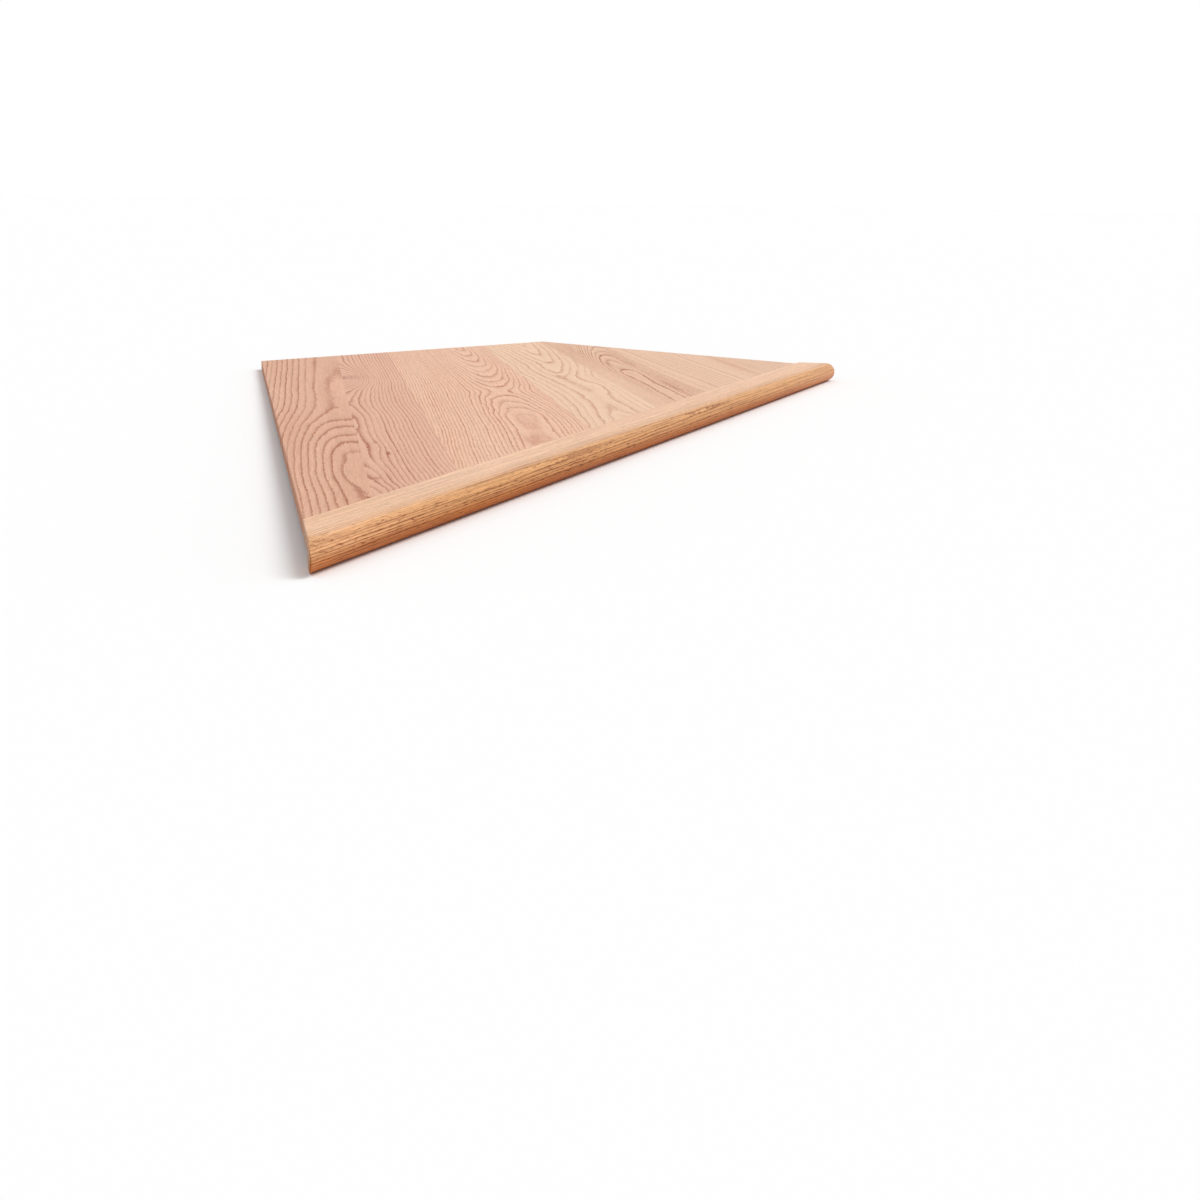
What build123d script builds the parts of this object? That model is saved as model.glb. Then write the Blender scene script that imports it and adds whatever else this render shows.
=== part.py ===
from build123d import *
import math
import os

# Kite winder tread of solid oak: an edge-glued panel of staves with a bullnose strip along its front.
# It is laid out with X along the nosing, Y towards the back and Z up, the panel's newel point at X = Y = 0
# and the underside of the lip at Z = 0. At the end it is set down as it rests on a level floor.
# All sizes are in millimetres and degrees.

# Section across the nosing
BOARD_THICKNESS = 20.0      # panel, and the strip behind its lip
NOSING_DEPTH = 38.0         # full depth of the half-round nosing
STRIP_WIDTH = 82.0          # front of the round to the joint with the panel
LIP_WIDTH = 27.5            # front of the round to the back of the hanging lip
SIDE_OVERHANG = 30.0        # the strip runs on past the panel's side edge

# Plan of the panel
FRONT_LENGTH = 2110.0       # joint with the strip, newel point to side edge
SIDE_LENGTH = 870.0         # side edge, joint to the square wall corner
TURN_ANGLE = 26.4           # between the nosing and the back wall
NEWEL_ANGLE = 33.4          # between the nosing and the rear left edge, at the newel point

# Staves, counted from the newel side, each measured square to its length
STAVE_ANGLE = 31.0          # between the nosing and the staves
NEWEL_STAVE_WIDTH = 84.0    # at the newel point: this stave widens towards the wall
SECOND_STAVE_WIDTH = 122.0
THIRD_STAVE_WIDTH = 247.0
FOURTH_STAVE_WIDTH = 160.0
FIFTH_STAVE_WIDTH = 135.0
SIXTH_STAVE_WIDTH = 212.0   # the seventh stave takes what is left, up to the side edge

EDGE_ROUND = 1.0            # sanded arris round the outline

# Worked out from the sizes above
NOSE_RADIUS = NOSING_DEPTH / 2
LIP_DROP = NOSING_DEPTH - BOARD_THICKNESS
LIP_BACK = LIP_WIDTH - STRIP_WIDTH
REACH = 2 * (FRONT_LENGTH + SIDE_LENGTH)    # longer than any line across the tread


def heading(angle, length=1.0):
    """Plan vector of a length, turned from the nosing by an angle."""
    return Vector(length * math.cos(math.radians(angle)), length * math.sin(math.radians(angle)))


def meeting_point(start_a, angle_a, start_b, angle_b):
    """Where two plan lines cross, each given by a point and its angle."""
    a, b, gap = heading(angle_a), heading(angle_b), start_b - start_a
    along_a = (gap.X * b.Y - gap.Y * b.X) / (a.X * b.Y - a.Y * b.X)
    return start_a + a * along_a


NEWEL_POINT = Vector(0, 0)
SIDE_START = Vector(FRONT_LENGTH, 0)
WALL_CORNER = SIDE_START + heading(90 - TURN_ANGLE, SIDE_LENGTH)
REAR_CORNER = meeting_point(NEWEL_POINT, NEWEL_ANGLE, WALL_CORNER, 180 - TURN_ANGLE)
TIP = Vector(-STRIP_WIDTH / math.tan(math.radians(NEWEL_ANGLE)), -STRIP_WIDTH)


def nosing_section():
    """Section of the whole tread: half-round front, lip with a flat foot and a square back, then the board."""
    front = -STRIP_WIDTH
    with BuildLine(Plane.YZ) as edge:
        RadiusArc((front + NOSE_RADIUS, NOSING_DEPTH), (front + NOSE_RADIUS, 0), -NOSE_RADIUS)
        Polyline(
            (front + NOSE_RADIUS, 0),
            (LIP_BACK, 0),
            (LIP_BACK, LIP_DROP),
            (REAR_CORNER.Y, LIP_DROP),
            (REAR_CORNER.Y, NOSING_DEPTH),
            (front + NOSE_RADIUS, NOSING_DEPTH),
        )
    return make_face(edge.line)


def plan_outline():
    """Outline of strip and panel together, seen from above."""
    strip_end = FRONT_LENGTH + SIDE_OVERHANG
    corners = [TIP, Vector(strip_end, TIP.Y), Vector(strip_end, 0), SIDE_START, WALL_CORNER, REAR_CORNER]
    return make_face(Polyline(*corners, close=True))


def on_end_cut(edge):
    """True for an edge of the sawn outline, and false for the long edges that follow the nosing."""
    middle = edge @ 0.5
    across = abs((edge @ 1 - edge @ 0).Y) > EDGE_ROUND
    upright = abs((edge % 0.5).Z) > 0.999
    return across and not upright and middle.Y > -STRIP_WIDTH


def blank():
    """The finished outline and section as one body, with its sawn ends and edges sanded round."""
    bar = extrude(nosing_section(), amount=REACH, dir=(1, 0, 0)).moved(Pos(X=TIP.X - REACH / 2))
    body = bar & extrude(plan_outline(), amount=NOSING_DEPTH)
    return fillet(body.edges().filter_by(on_end_cut), EDGE_ROUND)


def stave_band(near, far):
    """Slab that holds one stave, between two distances measured square to the staves from the newel point."""
    slab = Box(2 * REACH, far - near, 2 * REACH, align=(Align.CENTER, Align.MAX, Align.CENTER))
    return Rot(Z=STAVE_ANGLE) * Pos(Y=-near) * slab


def panel_half():
    """Everything behind the joint between strip and panel."""
    return Box(2 * REACH, REACH, 2 * REACH, align=(Align.CENTER, Align.MIN, Align.CENTER))


def as_it_rests(body):
    """Placement on a level floor: the lip's back edge and the rear corner both touch, origin below the middle."""
    fall = math.degrees(math.atan2(LIP_DROP, REAR_CORNER.Y - LIP_BACK))
    box = (Rot(X=-fall) * body).bounding_box()
    return Pos(-box.center().X, -box.center().Y, -box.min.Z) * Rot(X=-fall)


def main():
    tread = blank()
    pieces = {"nosing_strip": tread - panel_half()}
    panel = tread & panel_half()
    widths = [
        NEWEL_STAVE_WIDTH,
        SECOND_STAVE_WIDTH,
        THIRD_STAVE_WIDTH,
        FOURTH_STAVE_WIDTH,
        FIFTH_STAVE_WIDTH,
        SIXTH_STAVE_WIDTH,
    ]
    near = -REACH
    for number, far in enumerate([sum(widths[:count + 1]) for count in range(len(widths))] + [REACH], start=1):
        pieces[f"stave_{number}"] = panel & stave_band(near, far)
        near = far
    placing = as_it_rests(tread)
    os.makedirs("parts", exist_ok=True)
    for name, piece in pieces.items():
        placed = placing * piece
        placed.label = name
        export_step(placed, f"parts/{name}.step")
        print(name, f"{placed.volume / 1e6:.3f} litres", placed.bounding_box())


main()
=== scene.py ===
import bmesh
import bpy
import math
from mathutils import Euler, Matrix, Vector


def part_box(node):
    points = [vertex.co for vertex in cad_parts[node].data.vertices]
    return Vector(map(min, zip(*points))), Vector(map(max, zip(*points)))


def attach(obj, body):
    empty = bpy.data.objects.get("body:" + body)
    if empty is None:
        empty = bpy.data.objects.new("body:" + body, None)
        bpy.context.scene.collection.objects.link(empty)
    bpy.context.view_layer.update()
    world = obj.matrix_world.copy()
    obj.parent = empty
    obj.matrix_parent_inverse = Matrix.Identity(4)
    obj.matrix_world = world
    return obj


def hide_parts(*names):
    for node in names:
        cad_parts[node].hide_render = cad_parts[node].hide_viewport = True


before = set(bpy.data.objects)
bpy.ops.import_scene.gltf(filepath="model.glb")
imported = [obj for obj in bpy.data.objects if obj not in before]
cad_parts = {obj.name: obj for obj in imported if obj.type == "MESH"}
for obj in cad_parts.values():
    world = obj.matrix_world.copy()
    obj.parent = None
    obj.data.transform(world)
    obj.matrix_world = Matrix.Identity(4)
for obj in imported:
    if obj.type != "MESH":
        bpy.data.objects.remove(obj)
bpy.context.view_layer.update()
print("frame loaded, nodes:", ", ".join(sorted(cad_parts)))

# The tread's own axes: X along the nosing, Y towards the wall, Z up, zero at the newel point on the walking
# face. The frame holds it as it rests on the floor, leaning back a little on its lip.
tread = {
    "lean": 0.8550265,          # degrees
    "stripLength": 2.140,       # metres from here on, newel point to the strip's square end
    "flatTop": 0.063,           # joint to the start of the round
    "thickness": 0.020,
    "nosingDepth": 0.038,
    "stripWidth": 0.082,
    "lipWidth": 0.0275,
    "newelAngle": 33.4,         # degrees, between the nosing and the cut at the newel end
    "staveAngle": 31.0,
}

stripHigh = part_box("nosing_strip")[1]
lean = math.radians(tread["lean"])
newelPoint = Vector((
    stripHigh.x - tread["stripLength"],
    stripHigh.y,
    stripHigh.z - tread["flatTop"] * math.sin(lean),
))
treadToRow = Matrix.Translation(newelPoint) @ Matrix.Rotation(-lean, 4, "X")


def linear(red, green, blue):
    # a colour written as 0 to 255 on screen, as the shader wants it
    steps = []
    for value in (red, green, blue):
        share = value / 255
        steps.append(share / 12.92 if share <= 0.04045 else ((share + 0.055) / 1.055) ** 2.4)
    return (*steps, 1.0)


# Camera
cameraView = {
    "place": (-1.6964, -1.0288, 0.3489),    # in the tread's own axes
    "heading": 21.451,                      # degrees from the nosing towards the wall
    "lookDown": 12.478,
    "roll": 0.090,
    "lens": 52.577,                         # mm, as the sensor
    "sensor": 36.0,
    "shiftDown": 9 / 1200,                  # the photograph's middle lies this far below the lens axis
    "nearest": 0.05,                        # metres that the camera sees from and to
    "furthest": 200.0,
}


def makeCamera(look):
    data = bpy.data.cameras.new("camera")
    data.lens = look["lens"]
    data.sensor_width = look["sensor"]
    data.shift_y = -look["shiftDown"]
    data.clip_start = look["nearest"]
    data.clip_end = look["furthest"]
    camera = bpy.data.objects.new("camera", data)
    bpy.context.scene.collection.objects.link(camera)
    turn = Euler((
        math.radians(90 - look["lookDown"]),
        math.radians(look["roll"]),
        math.radians(look["heading"] - 90),
    ))
    camera.matrix_world = treadToRow @ Matrix.Translation(look["place"]) @ turn.to_matrix().to_4x4()
    bpy.context.scene.camera = camera


makeCamera(cameraView)
print("camera placed")


# Nodes: an input is given either a value of its own or another node's output
def setInput(tree, socket, value):
    if isinstance(value, bpy.types.NodeSocket):
        tree.links.new(value, socket)
    else:
        socket.default_value = value


def addNode(tree, kind, inputs=None, **settings):
    node = tree.nodes.new(kind)
    for name, value in settings.items():
        setattr(node, name, value)
    for name, value in (inputs or {}).items():
        setInput(tree, node.inputs[name], value)
    return node


def calculate(tree, operation, *values, clamp=False):
    inputs = dict(enumerate(values))
    return addNode(tree, "ShaderNodeMath", inputs, operation=operation, use_clamp=clamp).outputs[0]


def calculateVector(tree, operation, *values):
    inputs = dict(enumerate(values))
    return addNode(tree, "ShaderNodeVectorMath", inputs, operation=operation).outputs[0]


def rescale(tree, value, fromLow, fromHigh, toLow, toHigh, way="LINEAR"):
    inputs = {"Value": value, "From Min": fromLow, "From Max": fromHigh, "To Min": toLow, "To Max": toHigh}
    return addNode(tree, "ShaderNodeMapRange", inputs, interpolation_type=way).outputs["Result"]


def mixColour(tree, share, first, second):
    # a colour mix has its own sockets at 6 and 7, and its result at 2
    return addNode(tree, "ShaderNodeMix", {0: share, 6: first, 7: second}, data_type="RGBA").outputs[2]


def stretchedNoise(tree, place, sizes, detail=2.0, roughness=0.5):
    # noise whose grains are this many mm along, across and through the board, from -1 to 1
    scaled = calculateVector(tree, "MULTIPLY", place, tuple(1 / size for size in sizes))
    inputs = {"Vector": scaled, "Scale": 1.0, "Detail": detail, "Roughness": roughness}
    noise = addNode(tree, "ShaderNodeTexNoise", inputs)
    return calculate(tree, "MULTIPLY_ADD", noise.outputs[0], 2.0, -1.0)


def drawCurve(tree, value, points):
    # a smooth curve through a few points, read at value; both run from 0 to 1
    node = addNode(tree, "ShaderNodeFloatCurve", {"Value": value})
    curve = node.mapping.curves[0]
    while len(curve.points) < len(points):
        curve.points.new(0.5, 0.5)
    for point, (across, up) in zip(curve.points, points):
        point.location = (across, up)
    node.mapping.update()
    return node.outputs[0]


def seenByCamera(tree):
    # 1 for what the camera sees, also by way of gloss or glass, and 0 for light on its way to the wood
    path = addNode(tree, "ShaderNodeLightPath")
    seen = calculate(tree, "ADD", path.outputs["Is Camera Ray"], path.outputs["Is Glossy Ray"])
    return calculate(tree, "ADD", seen, path.outputs["Is Transmission Ray"], clamp=True)


# Floor, backdrop and light
studio = {
    "floorReach": 60.0,                     # metres each way
    "whiteFloor": linear(254, 254, 254),
    "bounceFloor": linear(205, 172, 145),   # what the floor throws back onto the wood
    "lowLight": 0.42,                       # from the walls of the studio
    "highLight": 0.74,                      # from its ceiling
    "sunLight": 1.40,
    "sunSpread": 38.0,                      # degrees
    "sunHeight": 56.0,
    "sunHeading": -48.0,                    # degrees from the nosing, seen from above
}


def makeFloor(look):
    reach = look["floorReach"]
    mesh = bpy.data.meshes.new("floor")
    corners = [(-reach, -reach, 0), (reach, -reach, 0), (reach, reach, 0), (-reach, reach, 0)]
    mesh.from_pydata(corners, [], [(0, 1, 2, 3)])
    floor = bpy.data.objects.new("floor", mesh)
    bpy.context.scene.collection.objects.link(floor)
    material = bpy.data.materials.new("paperWhite")
    material.use_nodes = True
    tree = material.node_tree
    tree.nodes.clear()
    colour = mixColour(tree, seenByCamera(tree), look["bounceFloor"], look["whiteFloor"])
    surface = addNode(tree, "ShaderNodeBsdfDiffuse", {"Color": colour})
    addNode(tree, "ShaderNodeOutputMaterial", {"Surface": surface.outputs[0]})
    mesh.materials.append(material)


def makeLight(look):
    world = bpy.data.worlds.new("studio")
    bpy.context.scene.world = world
    world.use_nodes = True
    tree = world.node_tree
    tree.nodes.clear()
    direction = addNode(tree, "ShaderNodeTexCoord").outputs["Generated"]
    height = addNode(tree, "ShaderNodeSeparateXYZ", {0: direction}).outputs["Z"]
    light = rescale(tree, height, 0, 1, look["lowLight"], look["highLight"])
    strength = addNode(tree, "ShaderNodeMix", {0: seenByCamera(tree), 2: light, 3: 1.0}).outputs[0]
    background = addNode(tree, "ShaderNodeBackground", {"Color": (1, 1, 1, 1), "Strength": strength})
    addNode(tree, "ShaderNodeOutputWorld", {"Surface": background.outputs[0]})

    lamp = bpy.data.lights.new("softbox", "SUN")
    lamp.energy = look["sunLight"]
    lamp.angle = math.radians(look["sunSpread"])
    sun = bpy.data.objects.new("softbox", lamp)
    bpy.context.scene.collection.objects.link(sun)
    height = math.radians(look["sunHeight"])
    heading = math.radians(look["sunHeading"])
    towards = Vector((
        math.cos(height) * math.cos(heading),
        math.cos(height) * math.sin(heading),
        math.sin(height),
    ))
    sun.rotation_mode = "QUATERNION"
    sun.rotation_quaternion = towards.to_track_quat("Z", "Y")


makeFloor(studio)
makeLight(studio)
bpy.context.scene.view_settings.view_transform = "Standard"
print("floor and light made")


# Oak: one group holds the figure of the wood, with painted shade below the walking face and painted
# sheen at spots, and each board's material says how it was sawn from the log.
# All sizes are in mm; a pair is the range of a noise over which its effect grows.
oak = {
    "curveReach": 2600.0,       # along a board, that its curves run over
    "deepest": 300.0,           # what a full depth curve means
    "widestSway": 400.0,
    "ringProfile": [            # how dark a ring is, from one row of pores to the next
        (0.0, 1.0), (0.12, 0.90), (0.26, 0.42), (0.50, 0.16), (0.84, 0.0), (0.93, 0.15), (1.0, 0.7),
    ],
    "faintestRing": 0.45,
    "slowUneven": 0.83,         # radians a ring, of the two waves that make wide and narrow rings
    "quickUneven": 2.17,
    "quickShare": 0.37,
    "seedShift": (917.0, 331.0, 127.0),
    "wanderSizes": (420, 85, 85),   # grains of each noise: along, across and through the board
    "wiggleSizes": (80, 26, 26),
    "raggedSizes": (14, 2.4, 2.4),
    "fibreSizes": (45, 2.0, 2.0),
    "hairSizes": (240, 1.3, 1.3),
    "streakSizes": (300, 7, 7),
    "bandSizes": (900, 60, 60),
    "hairRange": (0.02, 0.5),
    "poreRange": (0.57, 0.74),
    "poresBetweenLines": 0.4,   # share of the pores that stays between the dark lines
    "poresFullAt": 0.6,
    "brokenRange": (-0.6, 0.4),
    "faintestStretch": 0.6,     # of a line along its length
    "streakShare": 0.5,
    "toneRange": (-0.7, 0.7),
    # the next two: depths below the walking face where the painted shade tones of the edge and foot start and
    # are full
    "edgeShadeTone": (0.1, 5.0),     # below the walking face, where the edge tone starts and is full
    "footShadeTone": (13.0, 30.0),
    "endGrain": (0.3, 1.0),     # how squarely a face cuts the grain
    "endDarker": 0.45,
    "roughness": 0.40,
    "lineRougher": 0.08,
    "poreRougher": 0.10,
    "lineDepth": 0.15,          # of a pore's depth
    "bumpStrength": 0.15,
    "bumpDepth": 0.0003,        # metres
    "ior": 1.45,
}


def makeOakGroup(look):
    tree = bpy.data.node_groups.new("oakFigure", "ShaderNodeTree")
    sockets = {
        "NodeSocketVector": ("Place", "Facing"),
        "NodeSocketFloat": (
            "Heart", "Depth", "Pull", "Knot", "Bold", "Light", "Edge", "Fade", "Ring Width", "Ring Start",
            "Squareness", "Unevenness", "Wander", "Wiggle", "Ragged", "Line Strength", "Line Sharpness",
            "Hair Strength", "Pore Strength", "Pore Length", "Pore Width", "Fibre Strength", "Face Share",
            "Seed",
        ),
        "NodeSocketColor": ("Pale", "Warm", "Line", "Knot Wood", "Edge Shade Tone", "Foot Shade Tone"),
    }
    for kind, names in sockets.items():
        for name in names:
            tree.interface.new_socket(name, in_out="INPUT", socket_type=kind)
    for name, kind in (("Color", "Color"), ("Rough", "Float"), ("Height", "Float")):
        tree.interface.new_socket(name, in_out="OUTPUT", socket_type="NodeSocket" + kind)
    given = tree.nodes.new("NodeGroupInput").outputs

    moves = [calculate(tree, "MULTIPLY", given["Seed"], move) for move in look["seedShift"]]
    shift = addNode(tree, "ShaderNodeCombineXYZ", dict(zip("XYZ", moves)))
    place = calculateVector(tree, "ADD", given["Place"], shift.outputs[0])
    split = addNode(tree, "ShaderNodeSeparateXYZ", {0: given["Place"]})

    # distance from the heart of the log, counted in rings
    wander = calculate(tree, "MULTIPLY", stretchedNoise(tree, place, look["wanderSizes"]), given["Wander"])
    wiggle = calculate(tree, "MULTIPLY", stretchedNoise(tree, place, look["wiggleSizes"]), given["Wiggle"])
    ragged = stretchedNoise(tree, place, look["raggedSizes"])
    across = calculate(tree, "ABSOLUTE", calculate(tree, "SUBTRACT", split.outputs["Y"], given["Heart"]))
    down = calculate(tree, "ADD", split.outputs["Z"], given["Depth"])
    powers = [calculate(tree, "POWER", side, given["Squareness"]) for side in (across, down)]
    root = calculate(tree, "DIVIDE", 1.0, given["Squareness"])
    radius = calculate(tree, "POWER", calculate(tree, "ADD", *powers), root)
    for part in (wander, wiggle, given["Pull"], calculate(tree, "MULTIPLY", ragged, given["Ragged"])):
        radius = calculate(tree, "ADD", radius, part)
    radius = calculate(tree, "SUBTRACT", radius, given["Ring Start"])
    rings = calculate(tree, "DIVIDE", radius, given["Ring Width"])
    slow = calculate(tree, "SINE", calculate(tree, "MULTIPLY_ADD", rings, look["slowUneven"], given["Seed"]))
    quick = calculate(tree, "SINE", calculate(tree, "MULTIPLY", rings, look["quickUneven"]))
    uneven = calculate(tree, "MULTIPLY_ADD", quick, look["quickShare"], slow)
    rings = calculate(tree, "MULTIPLY_ADD", uneven, given["Unevenness"], rings)
    share = calculate(tree, "FRACT", rings)
    number = calculate(tree, "FLOOR", rings)
    number = calculate(tree, "ADD", number, given["Seed"])
    chance = addNode(tree, "ShaderNodeTexWhiteNoise", {"W": number}, noise_dimensions="1D")
    profile = drawCurve(tree, share, look["ringProfile"])
    profile = calculate(tree, "POWER", profile, given["Line Sharpness"])
    boldness = rescale(tree, chance.outputs["Value"], 0, 1, look["faintestRing"], 1.0)
    line = calculate(tree, "MULTIPLY", profile, boldness)

    # fibres, pores and slow changes of tone
    fibre = stretchedNoise(tree, place, look["fibreSizes"], detail=4.0, roughness=0.6)
    hair = rescale(tree, stretchedNoise(tree, place, look["hairSizes"]), *look["hairRange"], 0, 1)
    streak = stretchedNoise(tree, place, look["streakSizes"])
    band = stretchedNoise(tree, place, look["bandSizes"])
    poreSize = addNode(tree, "ShaderNodeCombineXYZ", {
        "X": given["Pore Length"],
        "Y": given["Pore Width"],
        "Z": given["Pore Width"],
    })
    poreNoise = addNode(tree, "ShaderNodeTexNoise", {
        "Vector": calculateVector(tree, "DIVIDE", place, poreSize.outputs[0]),
        "Scale": 1.0,
        "Detail": 1.0,
    })
    pore = rescale(tree, poreNoise.outputs[0], *look["poreRange"], 0, 1)
    nearLine = rescale(tree, profile, 0, look["poresFullAt"], look["poresBetweenLines"], 1.0)
    pore = calculate(tree, "MULTIPLY", pore, nearLine)
    broken = calculate(tree, "ADD", streak, ragged)
    broken = rescale(tree, broken, *look["brokenRange"], look["faintestStretch"], 1.0)
    bold = calculate(tree, "MAXIMUM", calculate(tree, "ADD", given["Bold"], 1.0), 0.0)
    broken = calculate(tree, "MULTIPLY", broken, bold)
    pore = calculate(tree, "MULTIPLY", pore, bold)
    line = calculate(tree, "MULTIPLY", line, broken)

    # colour, from the ground tone up to the pores and knots, with painted shade below the walking face and
    # painted sheen where a spot asks for it
    tone = calculate(tree, "MULTIPLY_ADD", streak, look["streakShare"], band)
    tone = rescale(tree, tone, *look["toneRange"], 0, 1)
    colour = mixColour(tree, tone, given["Pale"], given["Warm"])
    # painted shade: below the walking face the colour turns to the edge's darker, golden tone, standing for
    # shade and warm bounce light; Edge adds it and Fade takes it away
    deep = rescale(tree, split.outputs["Z"], *look["edgeShadeTone"], 0, 1, "SMOOTHSTEP")
    deep = calculate(tree, "ADD", deep, given["Edge"], clamp=True)
    kept = calculate(tree, "SUBTRACT", 1.0, given["Fade"], clamp=True)
    colour = mixColour(tree, calculate(tree, "MULTIPLY", deep, kept), colour, given["Edge Shade Tone"])
    # painted shade: further down toward the foot the colour turns deep orange, standing for warm bounce light
    # and shade
    foot = rescale(tree, split.outputs["Z"], *look["footShadeTone"], 0, 1, "SMOOTHSTEP")
    colour = mixColour(tree, calculate(tree, "MULTIPLY", foot, kept), colour, given["Foot Shade Tone"])
    faceShare = rescale(tree, deep, 0, 1, given["Face Share"], 1.0)
    line = calculate(tree, "MULTIPLY", line, faceShare)
    pore = calculate(tree, "MULTIPLY", pore, faceShare)
    hair = calculate(tree, "MULTIPLY", calculate(tree, "MULTIPLY", hair, faceShare), given["Hair Strength"])
    colour = mixColour(tree, hair, colour, given["Line"])
    for marks, strength in ((line, "Line Strength"), (pore, "Pore Strength")):
        shown = calculate(tree, "MULTIPLY", marks, given[strength], clamp=True)
        colour = mixColour(tree, shown, colour, given["Line"])
    colour = mixColour(tree, calculate(tree, "MINIMUM", given["Knot"], 1.0), colour, given["Knot Wood"])
    bright = calculate(tree, "MULTIPLY_ADD", fibre, given["Fibre Strength"], 1.0)
    # painted sheen: Light brightens the colour where a spot sets it
    bright = calculate(tree, "ADD", bright, given["Light"])

    # sawn ends drink more varnish and turn darker
    end = addNode(tree, "ShaderNodeSeparateXYZ", {0: given["Facing"]}).outputs["X"]
    end = rescale(tree, calculate(tree, "ABSOLUTE", end), *look["endGrain"], 0, look["endDarker"])
    bright = calculate(tree, "SUBTRACT", bright, end)
    scaled = addNode(tree, "ShaderNodeVectorMath", {0: colour, "Scale": bright}, operation="SCALE").outputs[0]

    rough = calculate(tree, "MULTIPLY_ADD", line, look["lineRougher"], look["roughness"])
    rough = calculate(tree, "MULTIPLY_ADD", pore, look["poreRougher"], rough)
    height = calculate(tree, "MULTIPLY", pore, -1.0)
    height = calculate(tree, "MULTIPLY_ADD", line, -look["lineDepth"], height)
    addNode(tree, "NodeGroupOutput", {"Color": scaled, "Rough": rough, "Height": height})
    return tree


def makeSpotGroup():
    # 1 at a spot's middle, falling off round it
    tree = bpy.data.node_groups.new("oakSpot", "ShaderNodeTree")
    for name in ("Place", "Middle", "Reach"):
        tree.interface.new_socket(name, in_out="INPUT", socket_type="NodeSocketVector")
    tree.interface.new_socket("Share", in_out="OUTPUT", socket_type="NodeSocketFloat")
    given = tree.nodes.new("NodeGroupInput").outputs
    away = calculateVector(tree, "SUBTRACT", given["Place"], given["Middle"])
    away = calculateVector(tree, "DIVIDE", away, given["Reach"])
    square = addNode(tree, "ShaderNodeVectorMath", {0: away, 1: away}, operation="DOT_PRODUCT")
    square = calculate(tree, "MULTIPLY", square.outputs["Value"], -1.0)
    addNode(tree, "NodeGroupOutput", {"Share": calculate(tree, "EXPONENT", square)})
    return tree


oakFigure = makeOakGroup(oak)
oakSpot = makeSpotGroup()


def makeOak(name, board, look, angle):
    # angle: degrees between the nosing and the board's grain. The pattern's own axes run along the board,
    # across it from the newel point, and down from the walking face, in mm.
    material = bpy.data.materials.new(name)
    material.use_nodes = True
    tree = material.node_tree
    tree.nodes.clear()
    turn = Euler((math.pi + lean, 0, math.radians(angle)))
    coordinates = addNode(tree, "ShaderNodeTexCoord")
    mapped = addNode(tree, "ShaderNodeMapping", {
        "Vector": coordinates.outputs["Object"],
        "Location": turn.to_matrix() @ newelPoint * -1000,
        "Rotation": turn,
        "Scale": (1000, 1000, 1000),
    }).outputs[0]
    facing = addNode(tree, "ShaderNodeMapping", {
        "Vector": coordinates.outputs["Normal"],
        "Rotation": turn,
    }, vector_type="VECTOR").outputs[0]
    along = addNode(tree, "ShaderNodeSeparateXYZ", {0: mapped}).outputs["X"]
    reach, deepest, widest = look["curveReach"], look["deepest"], look["widestSway"]
    along = calculate(tree, "DIVIDE", along, reach)
    heart = drawCurve(tree, along, [(at / reach, 0.5 + sway / widest) for at, sway in board["sway"]])
    heart = calculate(tree, "MULTIPLY_ADD", heart, widest, board["heart"] - widest / 2)
    depth = drawCurve(tree, along, [(at / reach, deep / deepest) for at, deep in board["depth"]])
    depth = calculate(tree, "MULTIPLY", depth, deepest)
    local = dict.fromkeys(("pull", "dark", "bold", "light", "edge", "fade"), 0.0)
    for spot in board["spots"]:
        share = addNode(tree, "ShaderNodeGroup", {
            "Place": mapped,
            "Middle": (*spot["at"], spot.get("below", 0)),
            "Reach": (*spot["reach"], spot.get("through", 400)),
        }, node_tree=oakSpot).outputs[0]
        for effect in local:
            if effect in spot:
                local[effect] = calculate(tree, "MULTIPLY_ADD", share, spot[effect], local[effect])
    figure = addNode(tree, "ShaderNodeGroup", {
        "Place": mapped,
        "Facing": facing,
        "Heart": heart,
        "Depth": depth,
        "Pull": local["pull"],
        "Knot": local["dark"],
        "Bold": local["bold"],
        "Light": local["light"],
        "Edge": local["edge"],
        "Fade": local["fade"],
        "Ring Width": board["ringWidth"],
        "Ring Start": board["ringStart"],
        "Squareness": board["square"],
        "Unevenness": board["uneven"],
        "Wander": board["wander"],
        "Wiggle": board["wiggle"],
        "Ragged": board["ragged"],
        "Line Strength": board["lines"],
        "Line Sharpness": board["sharp"],
        "Hair Strength": board["hairs"],
        "Pore Strength": board["pores"],
        "Pore Length": board["poreLength"],
        "Pore Width": board["poreWidth"],
        "Fibre Strength": board["fibre"],
        "Face Share": board["faceShare"],
        "Seed": board["seed"],
        "Pale": linear(*board["pale"]),
        "Warm": linear(*board["warm"]),
        "Line": linear(*board["line"]),
        "Knot Wood": linear(*board["knotWood"]),
        "Edge Shade Tone": linear(*board["edgeShadeTone"]),
        "Foot Shade Tone": linear(*board["footShadeTone"]),
    }, node_tree=oakFigure)
    bump = addNode(tree, "ShaderNodeBump", {
        "Strength": look["bumpStrength"],
        "Distance": look["bumpDepth"],
        "Height": figure.outputs["Height"],
    })
    surface = addNode(tree, "ShaderNodeBsdfPrincipled", {
        "Base Color": figure.outputs["Color"],
        "Roughness": figure.outputs["Rough"],
        "Normal": bump.outputs[0],
        "IOR": look["ior"],
        "Specular IOR Level": board["gloss"],
    })
    addNode(tree, "ShaderNodeOutputMaterial", {"Surface": surface.outputs[0]})
    return material
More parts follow.
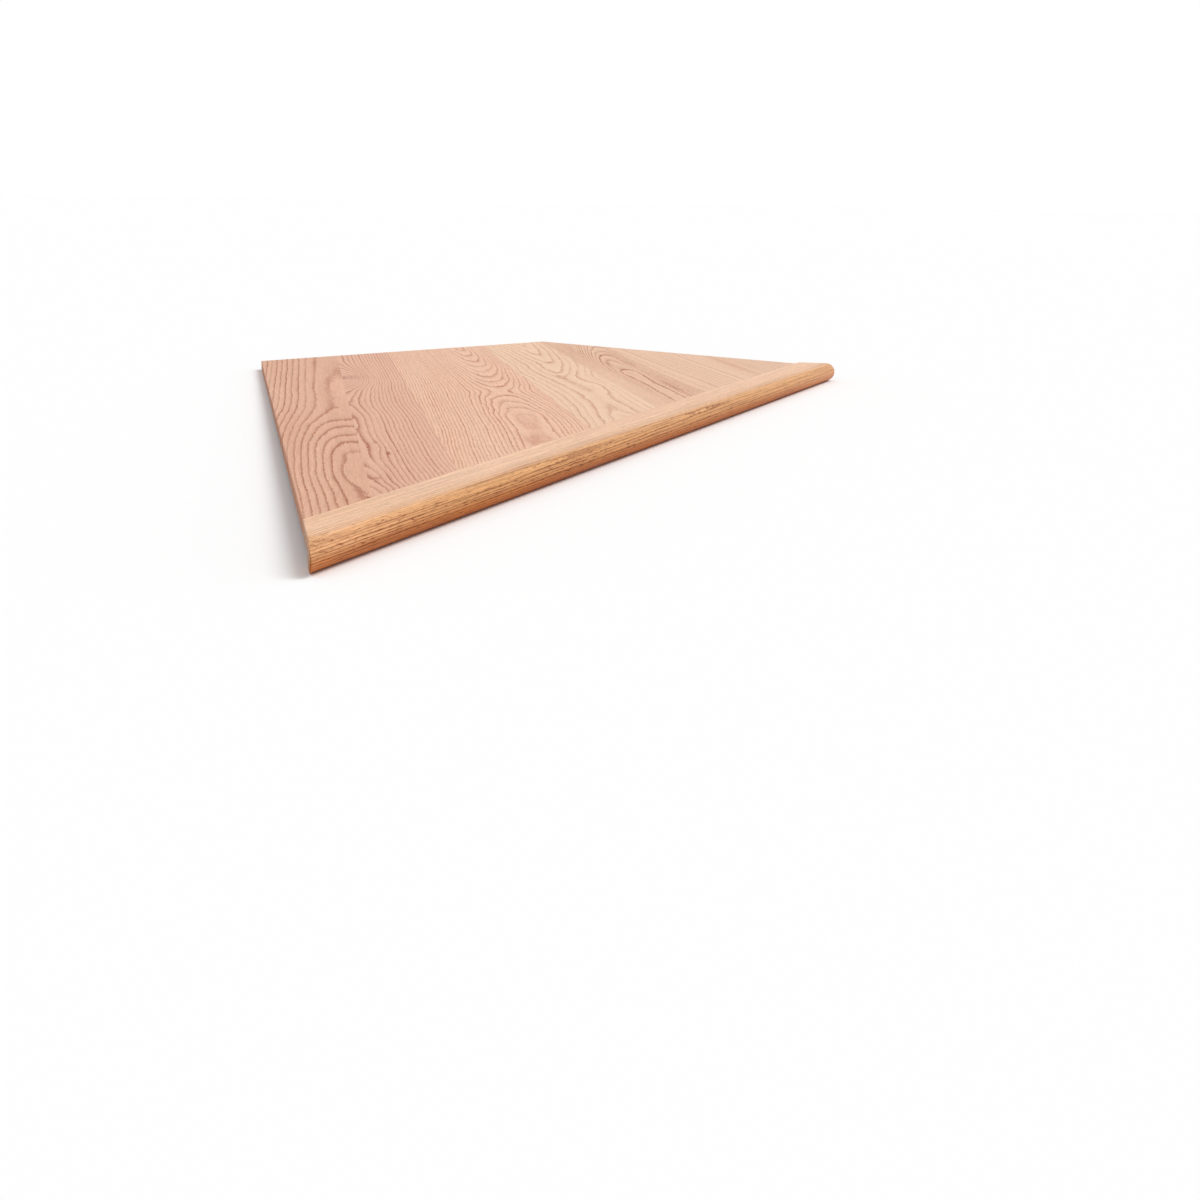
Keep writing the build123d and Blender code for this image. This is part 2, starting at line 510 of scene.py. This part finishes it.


# Staves, counted from the newel side, all in mm. heart: the figure's middle, square to the staves from the
# newel point. ringStart: the radius that the rings are counted from. square: how squarely they turn, 2 for
# round ones. sway and depth run along the stave: how far the heart line strays, and how deep below the
# face the heart lies. A spot changes its surroundings: pull shifts the rings, dark and bold change the tone
# and the lines, light brightens the tone, a painted sheen where the nosing strip uses it, edge adds the
# edge's painted shade tone and fade takes that tone away.
staves = {
    "stave_1": {
        "seed": 1.0, "heart": 84.0, "ringWidth": 9.3, "ringStart": 2.3, "square": 3.2, "uneven": 0.0,
        "wander": 1.0, "wiggle": 1.6, "ragged": 2.0, "lines": 1.0, "sharp": 1.7,
        "pale": (227, 178, 149), "warm": (216, 162, 131), "line": (156, 76, 42), "knotWood": (96, 52, 40),
        "sway": [(0, 12), (120, 9), (200, 6), (330, 1), (400, 0), (950, 0), (1150, 8), (1400, 10), (2600, 0)],
        "depth": [(0, 39.4), (120, 39), (200, 38.4), (250, 36.6), (330, 33.5), (400, 34.5), (475, 37.4),
                  (520, 38.6), (560, 41.5), (600, 44.5), (650, 48.8), (735, 58.1), (840, 67.4), (935, 76.7),
                  (1000, 81), (1100, 84.3), (1200, 84.4), (1350, 84.3), (1450, 84), (1700, 86), (2600, 95)],
        "spots": [
            {"at": (500, 78), "reach": (110, 18), "bold": -0.5},
            {"at": (1280, 62), "reach": (200, 20), "bold": -0.55},
            {"at": (1560, 72), "reach": (260, 20), "light": 0.05, "bold": -0.6},
        ],
    },
    "stave_2": {
        "seed": 2.0, "heart": 84.0, "ringWidth": 5.6, "ringStart": 3.8, "square": 1.5, "uneven": 0.04,
        "wander": 0.8, "wiggle": 1.2, "ragged": 1.1, "lines": 0.95, "sharp": 1.4,
        "pale": (232, 184, 157), "warm": (221, 169, 141), "line": (162, 82, 50), "knotWood": (156, 78, 52),
        "sway": [(0, 0), (2600, 0)],
        "depth": [(0, 50), (200, 58.5), (260, 63.9), (340, 67.6), (400, 70.9), (490, 73.8), (620, 74.5),
                  (690, 75.2), (780, 76), (900, 75.5), (1000, 77.1), (1070, 79.5), (1160, 81.9), (1260, 81.1),
                  (1330, 79.8), (1420, 79.5), (1500, 76), (1700, 74), (2600, 76)],
        "spots": [
            {"at": (500, 130), "reach": (100, 14), "pull": -3},
            {"at": (523, 122), "reach": (13, 2.6), "dark": 1.2},
            {"at": (645, 109), "reach": (14, 4), "dark": 0.45},
            {"at": (292, 95), "reach": (12, 7), "dark": 0.5},
            {"at": (1650, 96), "reach": (200, 50), "pull": -26},
            {"at": (1665, 92), "reach": (34, 34), "dark": 0.36},
            {"at": (1600, 105), "reach": (120, 40), "dark": 0.1, "bold": -0.6},
            {"at": (590, 110), "reach": (70, 12), "pull": -3.5},
            {"at": (390, 101), "reach": (70, 9), "bold": -0.8},
            {"at": (850, 118), "reach": (240, 8), "bold": -0.7},
            {"at": (800, 140), "reach": (500, 12), "bold": 0.35},
        ],
    },
    "stave_3": {
        "seed": 3.0, "heart": 370.0, "ringWidth": 5.2, "ringStart": 0.0, "square": 2.5, "uneven": 0.08,
        "wander": 2.2, "wiggle": 2.0, "ragged": 1.4, "lines": 0.86, "sharp": 1.35,
        "pale": (240, 198, 168), "warm": (234, 185, 154), "line": (176, 98, 62), "knotWood": (184, 108, 82),
        "sway": [(0, -30), (500, -18), (600, -14), (700, -9), (800, -4), (1000, 0), (1300, 3), (1600, 12),
                 (2600, 14)],
        "depth": [(0, 45), (600, 47.3), (700, 47.6), (950, 47.5), (1040, 52), (1150, 57.2), (1250, 62.4),
                  (1330, 66.8), (1440, 62.4), (1545, 57.2), (1660, 52), (1770, 46.8), (2000, 36), (2600, 20)],
        "spots": [
            {"at": (880, 368), "reach": (110, 15), "dark": 0.22},
            {"at": (630, 338), "reach": (60, 10), "dark": 0.35},
            {"at": (1300, 388), "reach": (90, 9), "bold": 0.9},
            {"at": (1050, 322), "reach": (420, 9), "bold": 0.45},
            {"at": (900, 250), "reach": (700, 50), "bold": 0.3},
            {"at": (900, 368), "reach": (160, 22), "bold": -0.6},
        ],
    },
    "stave_4": {
        "seed": 4.0, "heart": 545.0, "ringWidth": 9.0, "ringStart": 3.5, "square": 1.55, "uneven": 0.1,
        "wander": 2.4, "wiggle": 3.4, "ragged": 1.2, "lines": 0.66, "sharp": 1.4,
        "pale": (241, 205, 174), "warm": (235, 195, 164), "line": (184, 114, 76), "knotWood": (190, 116, 82),
        # painted shade tones of its sides and underside
        "edgeShadeTone": (212, 150, 96), "footShadeTone": (212, 150, 96),
        "sway": [(0, -20), (800, -12), (1300, -5), (1600, -14), (1920, 5), (2600, 5)],
        "depth": [(0, 80), (700, 98), (930, 107), (1050, 112), (1500, 112), (1600, 110.5), (1700, 103),
                  (1920, 94), (2160, 85), (2600, 70)],
        "spots": [
            {"at": (1600, 529), "reach": (60, 6), "dark": 0.26, "bold": 0.5},
            {"at": (1925, 548), "reach": (46, 14), "dark": 0.14, "bold": 0.4},
            {"at": (2160, 562), "reach": (35, 26), "dark": 0.12, "bold": 0.2},
            {"at": (1330, 541), "reach": (40, 8), "dark": 0.25},
            {"at": (1400, 578), "reach": (130, 24), "pull": -8},
            {"at": (1250, 604), "reach": (300, 14), "bold": -0.7},
            {"at": (1850, 590), "reach": (200, 14), "bold": -0.5},
        ],
    },
    "stave_5": {
        "seed": 5.0, "heart": 687.0, "ringWidth": 3.3, "ringStart": 1.4, "square": 2.4, "uneven": 0.05,
        "wander": 0.7, "wiggle": 0.9, "ragged": 0.8, "lines": 0.9,
        "pale": (234, 194, 164), "warm": (227, 182, 151), "line": (168, 94, 62), "knotWood": (178, 98, 68),
        "sway": [(0, 0), (1750, 0), (1900, 4), (2050, 16), (2200, 28), (2600, 70)],
        "depth": [(0, 39.4), (1000, 39.7), (1200, 40), (1300, 40.1), (1420, 40.2), (1550, 39.5), (1650, 38.9),
                  (1760, 41.4), (1880, 43.4), (2050, 46.4), (2200, 51), (2600, 60)],
        "spots": [
            {"at": (1350, 714), "reach": (110, 6), "dark": 0.4, "bold": 0.4},
            {"at": (1750, 688), "reach": (45, 18), "bold": 0.1},
            {"at": (1870, 723), "reach": (80, 8), "dark": 0.35, "bold": 0.4},
            {"at": (2080, 726), "reach": (130, 16), "dark": 0.2},
            {"at": (2120, 670), "reach": (260, 45), "bold": 0.7},
            {"at": (1865, 674), "reach": (70, 7), "dark": 0.4},
            {"at": (1400, 722), "reach": (260, 22), "bold": 1.1},
            {"at": (1400, 660), "reach": (260, 10), "bold": 0.8},
            {"at": (1300, 630), "reach": (560, 26), "bold": -1.0},
        ],
    },
    "stave_6": {
        "seed": 6.0, "heart": 700.0, "ringWidth": 13.0, "ringStart": 0.0, "square": 2.0, "uneven": 0.25,
        "wander": 4.0, "wiggle": 1.0, "ragged": 1.2, "lines": 0.4,
        "pale": (238, 199, 169), "warm": (231, 189, 159), "line": (172, 100, 68), "knotWood": (196, 124, 96),
        "sway": [(0, 0), (2600, -60)],
        "depth": [(0, 120), (2600, 120)],
        "spots": [{"at": (1800, 939), "reach": (260, 12), "dark": 0.34}],
    },
    "stave_7": {
        "seed": 7.0, "heart": 1200.0, "ringWidth": 9.0, "ringStart": 0.0, "square": 2.0, "uneven": 0.25,
        "wander": 3.0, "wiggle": 1.0, "ragged": 1.2, "lines": 0.4,
        "pale": (233, 195, 165), "warm": (226, 184, 154), "line": (172, 100, 68), "knotWood": (196, 124, 96),
        "sway": [(0, 0), (2600, 0)],
        "depth": [(0, 120), (2600, 120)],
        "spots": [],
    },
}
# alike on all the staves that don't say otherwise
sawnFine = {
    "sharp": 1.2, "hairs": 0.06, "pores": 0.4, "poreLength": 14, "poreWidth": 1.1, "fibre": 0.26,
    # painted shade: edgeShadeTone and footShadeTone turn the staves' sides and undersides darker and warmer
    "faceShare": 1.0, "gloss": 0.03, "edgeShadeTone": (200, 132, 86), "footShadeTone": (200, 132, 86),
}

for node, board in staves.items():
    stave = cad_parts[node]
    stave.data.materials.clear()
    stave.data.materials.append(makeOak(node + "Oak", {**sawnFine, **board}, oak, tread["staveAngle"]))
print("staves finished")

# Nosing strip: its section is swept along the front by Geometry Nodes, with the newel end cut askew
strip = {
    "roundSteps": 28,           # points on each quarter of the half-round
    "easedEdge": 0.0012,        # metres, on the lip's foot
    "easedSteps": 4,
    "endRound": 0.001,          # sanded arris of the sawn ends
    "endSteps": 3,
    "sharpestCorner": 4.25,     # how far from the tip its rounding starts, as a multiple of endRound
    "cornerGrowth": 1.22,       # how fast that grows from a square corner to the tip
    "creaseFrom": 32.0,         # degrees; below this two faces are shaded as one
    "samePlace": 0.00001,       # metres; points nearer than this are merged
    # its oak, in mm as for the staves; below and through are a spot's own depth and reach into the board
    "seed": 9.0, "heart": 260.0, "ringWidth": 2.7, "ringStart": 0.0, "square": 2.0, "uneven": 0.42,
    "wander": 1.2, "wiggle": 0.7, "ragged": 0.5, "lines": 0.92, "sharp": 1.25, "hairs": 0.85,
    "pores": 1.0, "poreLength": 15, "poreWidth": 1.5, "fibre": 0.3, "faceShare": 0.58, "gloss": 0.12,
    "pale": (250, 206, 170), "warm": (244, 195, 157), "line": (132, 66, 30), "knotWood": (150, 100, 90),
    # painted shade and warm bounce light: golden on the round, deep orange toward its foot
    "edgeShadeTone": (230, 172, 114), "footShadeTone": (224, 136, 36),
    "sway": [(0, 0), (2600, 0)],
    "depth": [(0, 200), (2600, 212)],
    "spots": [
        # painted sheen: paler and brighter near the newel tip, with the edge's painted shade tone partly
        # taken away
        {"at": (-120, 84), "reach": (250, 26), "light": 0.14, "fade": 0.38},
        # painted highlight: a golden tint on the tip's end
        {"at": (-104, 64), "reach": (24, 24), "edge": 0.6},
        # a little of the edge's painted shade tone on the top near the newel end
        {"at": (60, 14), "reach": (190, 44), "edge": 0.2},
        {"at": (50, 86), "below": 17, "reach": (170, 20), "through": 9, "bold": 0.9},
        {"at": (620, 86), "below": 13, "reach": (380, 20), "through": 10, "bold": 0.75},
        # painted reflection: paler and brighter on the round near the square end, with the painted shade tone
        # partly taken away
        {"at": (2060, 86), "below": 27, "reach": (330, 40), "through": 12, "light": 0.12, "fade": 0.55},
        {"at": (2060, 86), "reach": (560, 60), "bold": -0.6},
        # the edge's painted shade tone over the whole round of the strip
        {"at": (1000, 86), "reach": (3000, 27), "edge": 1.0},
    ],
}


def makeSectionOutline(size, look):
    # corners of the section: place across and up from the joint's top, rounding and the steps it is made in
    front, foot = -size["stripWidth"], -size["nosingDepth"]
    lipBack = front + size["lipWidth"]
    half, eased = size["nosingDepth"] / 2, look["easedEdge"]
    many, fine = look["roundSteps"], look["easedSteps"]
    corners = [
        (front, 0, half, many),
        (front, foot, half, many),
        (lipBack, foot, eased, fine),
        (lipBack, -size["thickness"], 0, 1),
        (0, -size["thickness"], 0, 1),
        (0, 0, 0, 1),
    ]
    mesh = bpy.data.meshes.new("nosingSection")
    edges = [(at, (at + 1) % len(corners)) for at in range(len(corners))]
    mesh.from_pydata([(across, up, 0) for across, up, rounding, steps in corners], edges, [])
    for name, kind, at in (("rounding", "FLOAT", 2), ("steps", "INT", 3)):
        values = mesh.attributes.new(name, kind, "POINT").data
        for place, corner in zip(values, corners):
            place.value = corner[at]
    return mesh


def makeSweepTree():
    tree = bpy.data.node_groups.new("sweptSection", "GeometryNodeTree")
    for name, kind in (
        ("Section", "NodeSocketGeometry"),
        ("Length", "NodeSocketFloat"),
        ("Run Per Width", "NodeSocketFloat"),
        ("Same Place", "NodeSocketFloat"),
        ("Finish", "NodeSocketMaterial"),
    ):
        tree.interface.new_socket(name, in_out="INPUT", socket_type=kind)
    tree.interface.new_socket("Strip", in_out="OUTPUT", socket_type="NodeSocketGeometry")
    given = tree.nodes.new("NodeGroupInput").outputs
    outline = addNode(tree, "GeometryNodeMeshToCurve", {"Mesh": given["Section"]})
    rounding = addNode(tree, "GeometryNodeInputNamedAttribute", {"Name": "rounding"}, data_type="FLOAT")
    steps = addNode(tree, "GeometryNodeInputNamedAttribute", {"Name": "steps"}, data_type="INT")
    outline = addNode(tree, "GeometryNodeFilletCurve", {
        "Curve": outline.outputs[0],
        "Count": steps.outputs[0],
        "Radius": rounding.outputs[0],
        "Limit Radius": True,
    }, mode="POLY")
    face = addNode(tree, "GeometryNodeFillCurve", {"Curve": outline.outputs[0]}, mode="NGONS").outputs[0]
    swept = addNode(tree, "GeometryNodeExtrudeMesh", {
        "Mesh": face,
        "Offset": (0, 0, 1),
        "Offset Scale": given["Length"],
        "Individual": False,
    })
    back = addNode(tree, "GeometryNodeFlipFaces", {"Mesh": face})
    both = addNode(tree, "GeometryNodeJoinGeometry")
    tree.links.new(swept.outputs["Mesh"], both.inputs[0])
    tree.links.new(back.outputs[0], both.inputs[0])
    closed = addNode(tree, "GeometryNodeMergeByDistance", {
        "Geometry": both.outputs[0],
        "Distance": given["Same Place"],
    })
    laid = addNode(tree, "GeometryNodeTransform", {
        "Geometry": closed.outputs[0],
        "Rotation": (math.radians(90), 0, math.radians(90)),
    })
    # the newel end, at X = 0, slides along in step with its distance in front of the joint
    place = addNode(tree, "GeometryNodeInputPosition").outputs[0]
    place = addNode(tree, "ShaderNodeSeparateXYZ", {0: place})
    half = calculate(tree, "MULTIPLY", given["Length"], 0.5)
    near = addNode(tree, "FunctionNodeCompare", {0: place.outputs["X"], 1: half}, operation="LESS_THAN")
    run = calculate(tree, "MULTIPLY", place.outputs["Y"], given["Run Per Width"])
    offset = addNode(tree, "ShaderNodeCombineXYZ", {"X": run})
    cut = addNode(tree, "GeometryNodeSetPosition", {
        "Geometry": laid.outputs[0],
        "Selection": near.outputs[0],
        "Offset": offset.outputs[0],
    })
    solid = addNode(tree, "GeometryNodeRealizeInstances", {"Geometry": cut.outputs[0]})
    finished = addNode(tree, "GeometryNodeSetMaterial", {
        "Geometry": solid.outputs[0],
        "Material": given["Finish"],
    })
    addNode(tree, "NodeGroupOutput", {"Strip": finished.outputs[0]})
    return tree


def makeNosing(size, look):
    finish = makeOak("nosingOak", look, oak, 0.0)
    rough = bpy.data.objects.new("nosingSweep", makeSectionOutline(size, look))
    bpy.context.scene.collection.objects.link(rough)
    sweep = rough.modifiers.new("sweep", "NODES")
    sweep.node_group = makeSweepTree()
    values = {
        "Length": size["stripLength"],
        "Run Per Width": 1 / math.tan(math.radians(size["newelAngle"])),
        "Same Place": look["samePlace"],
        "Finish": finish,
    }
    for socket in sweep.node_group.interface.items_tree:
        if socket.name in values:
            sweep[socket.identifier] = values[socket.name]
    mesh = bpy.data.meshes.new_from_object(rough.evaluated_get(bpy.context.evaluated_depsgraph_get()))
    bpy.data.objects.remove(rough)
    mesh.name = "bullnose_strip"

    # the two sawn ends get a sanded arris, except where the strip meets the panel
    shaped = bmesh.new()
    shaped.from_mesh(mesh)
    bmesh.ops.remove_doubles(shaped, verts=shaped.verts, dist=look["samePlace"])
    bmesh.ops.recalc_face_normals(shaped, faces=shaped.faces)
    weights = shaped.edges.layers.float.new("bevel_weight_edge")
    for edge in shaped.edges:
        lengthwise = abs(edge.verts[0].co.x - edge.verts[1].co.x) > size["stripLength"] / 2
        atJoint = all(abs(corner.co.y) < look["samePlace"] for corner in edge.verts)
        if not lengthwise and not atJoint:
            # the sharper the corner, the further from it its rounding starts
            start = math.tan(edge.calc_face_angle() / 2) ** look["cornerGrowth"]
            edge[weights] = min(start / look["sharpestCorner"], 1.0)
    shaped.to_mesh(mesh)
    shaped.free()
    mesh.transform(treadToRow)
    mesh.shade_smooth()
    mesh.set_sharp_from_angle(angle=math.radians(look["creaseFrom"]))
    made = bpy.data.objects.new("bullnose_strip", mesh)
    bpy.context.scene.collection.objects.link(made)
    ease = made.modifiers.new("sandedEnds", "BEVEL")
    ease.limit_method = "WEIGHT"
    ease.width = look["endRound"] * look["sharpestCorner"]
    ease.segments = look["endSteps"]
    ease.use_clamp_overlap = False
    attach(made, "root")
    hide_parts("nosing_strip")


makeNosing(tread, strip)
print("nosing strip finished")
